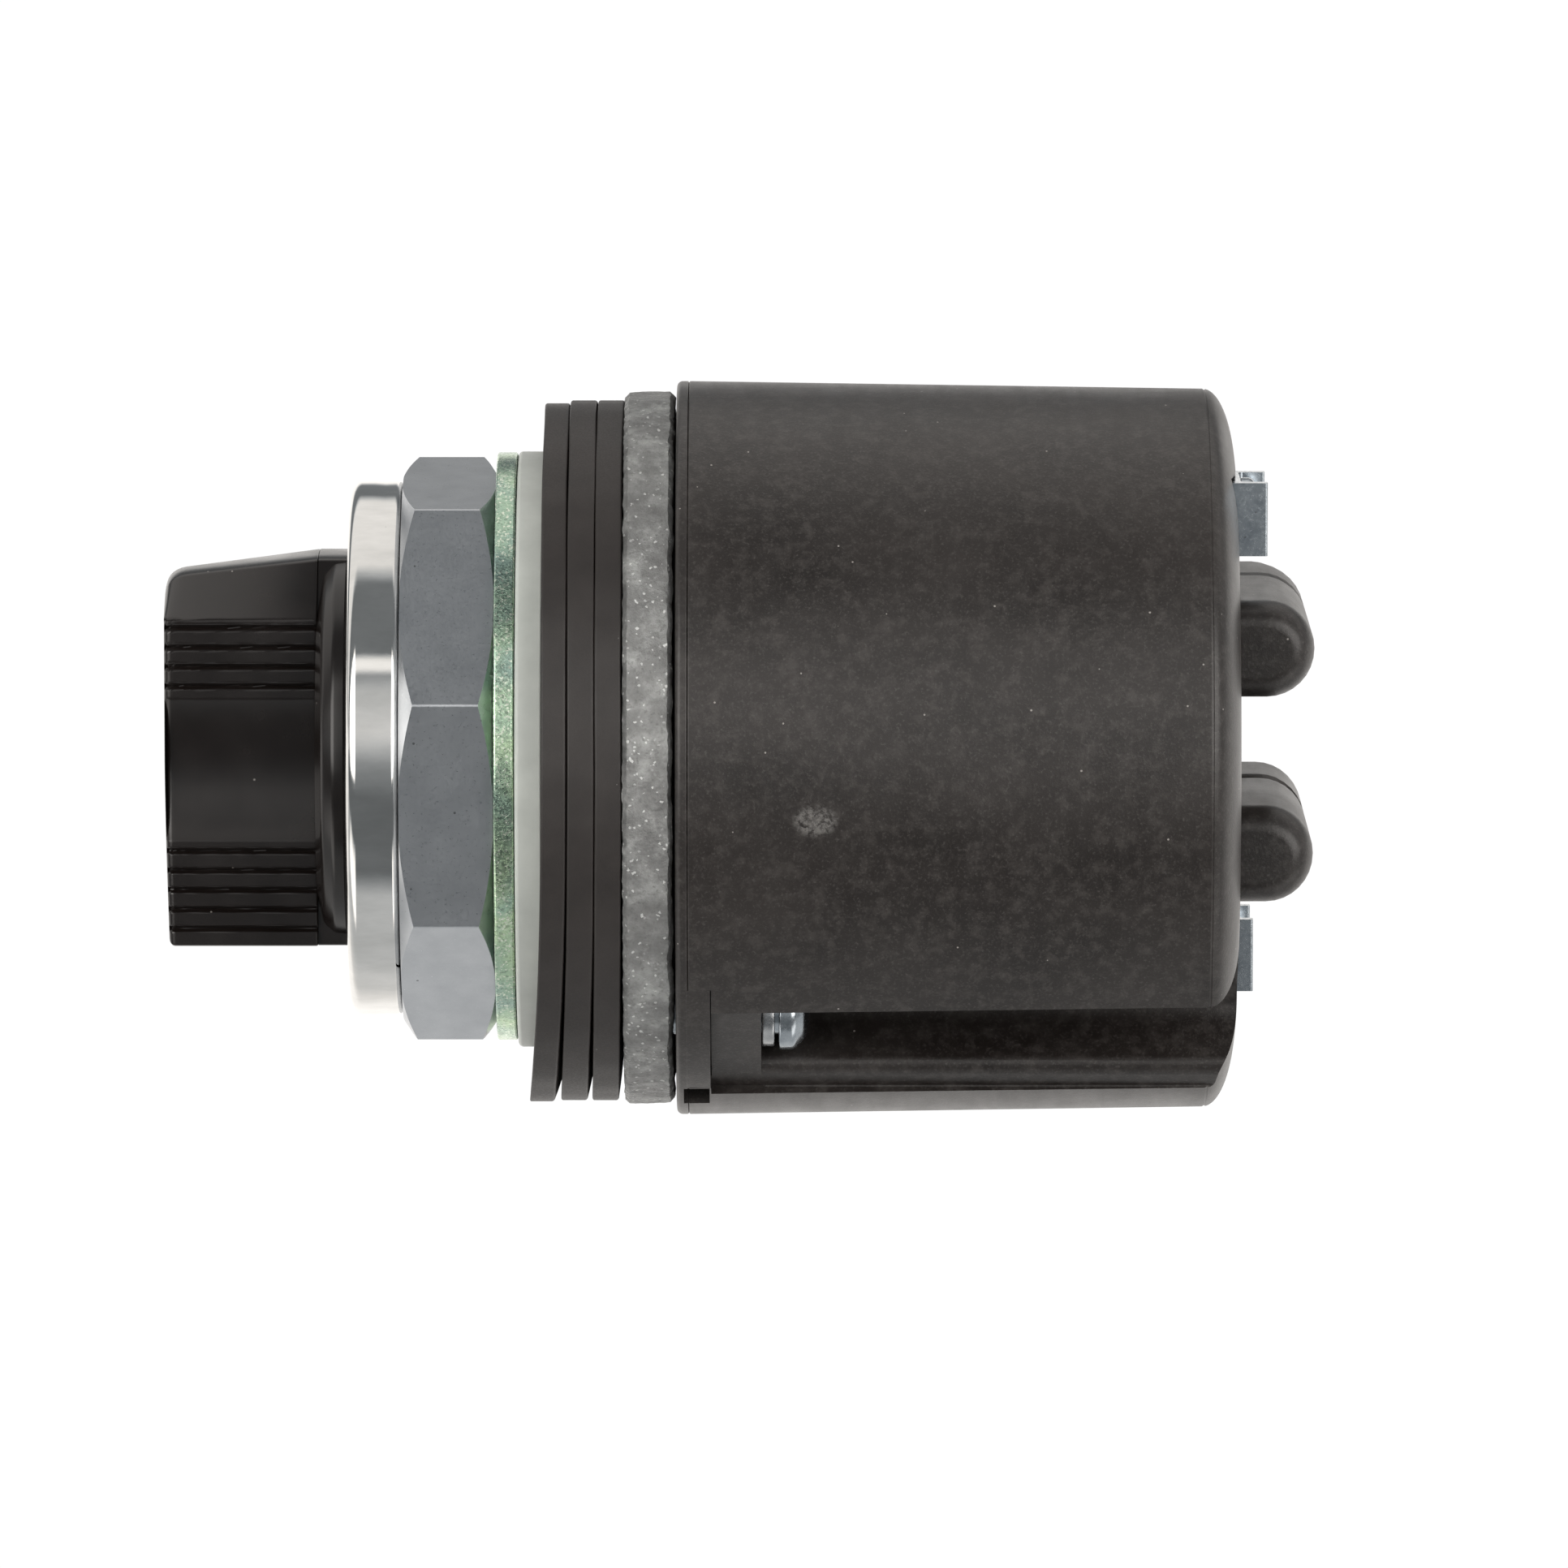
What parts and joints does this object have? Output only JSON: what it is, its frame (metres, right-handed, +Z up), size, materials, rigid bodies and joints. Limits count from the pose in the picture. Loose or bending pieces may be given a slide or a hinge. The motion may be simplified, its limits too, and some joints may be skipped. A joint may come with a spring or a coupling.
{
  "type": "rotary selector switch",
  "caption": "Oil-tight panel selector switch: serrated black knob, bright ring and octagonal nut, rubber gaskets and a round black contact block.",
  "frame": {"origin": "on the switch axis, at the front face of the first gasket, where the panel's rear face seats", "axes": "+X along the switch axis from the panel towards the terminals, the knob points to -X, +Z up at the pointer"},
  "size_m": [0.0739, 0.0474, 0.0474],
  "materials": {
    "black_moulding": "fine satin moulded thermoset",
    "knob_moulding": "satin black moulding",
    "white_insert": "white indicator inlay",
    "rubber": "matt moulded rubber",
    "zinc_casting": "grey die casting, granular",
    "polished_chrome": "bright chrome plate",
    "plated_nut": "satin nickel plate",
    "green_chromate": "sparkling green chromate plate",
    "grey_trim": "light grey satin",
    "steel": "zinc plated steel",
    "nylon": "natural nylon",
    "brass": "bright brass strip",
    "silver": "silver contact face",
    "spring_steel": "drawn spring wire"
  },
  "bodies": {
    "switch_body": {"bushing_casting": "zinc_casting", "gasket_1": "rubber", "gasket_2": "rubber", "gasket_3": "rubber", "base_plate": "black_moulding", "housing": "black_moulding", "plunger_guide": "black_moulding", "rear_clip": "steel", "mounting_screws": "steel", "lock_washers": "spring_steel", "detent_balls": "steel", "detent_springs": "spring_steel", "return_spring_near": "spring_steel", "return_spring_far": "spring_steel", "fixed_contact_near_top": "brass", "fixed_contact_near_bottom": "brass", "fixed_contact_far_top": "brass", "fixed_contact_far_bottom": "brass", "fixed_tip_near_top": "silver", "fixed_tip_near_bottom": "silver", "fixed_tip_far_top": "silver", "fixed_tip_far_bottom": "silver"},
    "knob_set": {"knob": "knob_moulding", "pointer_insert": "white_insert", "knob_set_screw": "steel", "shaft": "steel", "shaft_oring": "rubber", "detent_disc": "steel", "retaining_ring": "spring_steel", "cam": "nylon"},
    "panel_clamp_set": {"octagonal_nut": "plated_nut", "bezel_ring": "polished_chrome", "ground_washer": "green_chromate", "trim_washer": "grey_trim"},
    "plunger_set_near": {"plunger_near": "nylon", "contact_bridge_near": "brass", "bridge_tips_near": "silver", "contact_spring_near": "spring_steel"},
    "plunger_set_far": {"plunger_far": "nylon", "contact_bridge_far": "brass", "bridge_tips_far": "silver", "contact_spring_far": "spring_steel"},
    "terminal_near_top": {"terminal_screw_near_top": "steel", "saddle_clamp_near_top": "steel"},
    "terminal_near_bottom": {"terminal_screw_near_bottom": "steel", "saddle_clamp_near_bottom": "steel"},
    "terminal_far_top": {"terminal_screw_far_top": "steel", "saddle_clamp_far_top": "steel"},
    "terminal_far_bottom": {"terminal_screw_far_bottom": "steel", "saddle_clamp_far_bottom": "steel"}
  },
  "joints": [
    {"name": "knob_turn", "type": "hinge", "parent": "switch_body", "child": "knob_set", "pos_m": [0, 0, 0], "axis": [1, 0, 0], "range_deg": [-45, 45]},
    {"name": "panel_clamp_travel", "type": "slide", "parent": "switch_body", "child": "panel_clamp_set", "axis": [-1, 0, 0], "range_m": [0, 0.0064]},
    {"name": "plunger_push_near", "type": "slide", "parent": "switch_body", "child": "plunger_set_near", "axis": [1, 0, 0], "range_m": [-0.0014, 0.0014], "deforming": ["return_spring_near"]},
    {"name": "plunger_push_far", "type": "slide", "parent": "switch_body", "child": "plunger_set_far", "axis": [1, 0, 0], "range_m": [-0.0014, 0.0014], "deforming": ["return_spring_far"]},
    {"name": "terminal_screw_travel_near_top", "type": "slide", "parent": "switch_body", "child": "terminal_near_top", "axis": [1, 0, 0], "range_m": [-0.0033, 0.0003]},
    {"name": "terminal_screw_travel_near_bottom", "type": "slide", "parent": "switch_body", "child": "terminal_near_bottom", "axis": [1, 0, 0], "range_m": [0, 0.0036]},
    {"name": "terminal_screw_travel_far_top", "type": "slide", "parent": "switch_body", "child": "terminal_far_top", "axis": [1, 0, 0], "range_m": [-0.0004, 0.0032]},
    {"name": "terminal_screw_travel_far_bottom", "type": "slide", "parent": "switch_body", "child": "terminal_far_bottom", "axis": [1, 0, 0], "range_m": [-0.00285, 0.00075]}
  ],
  "couplings": [
    {"joint": "plunger_push_near", "follows": "knob_turn", "m_per_rad": 0.0017825},
    {"joint": "plunger_push_far", "follows": "knob_turn", "m_per_rad": -0.0017825}
  ]
}
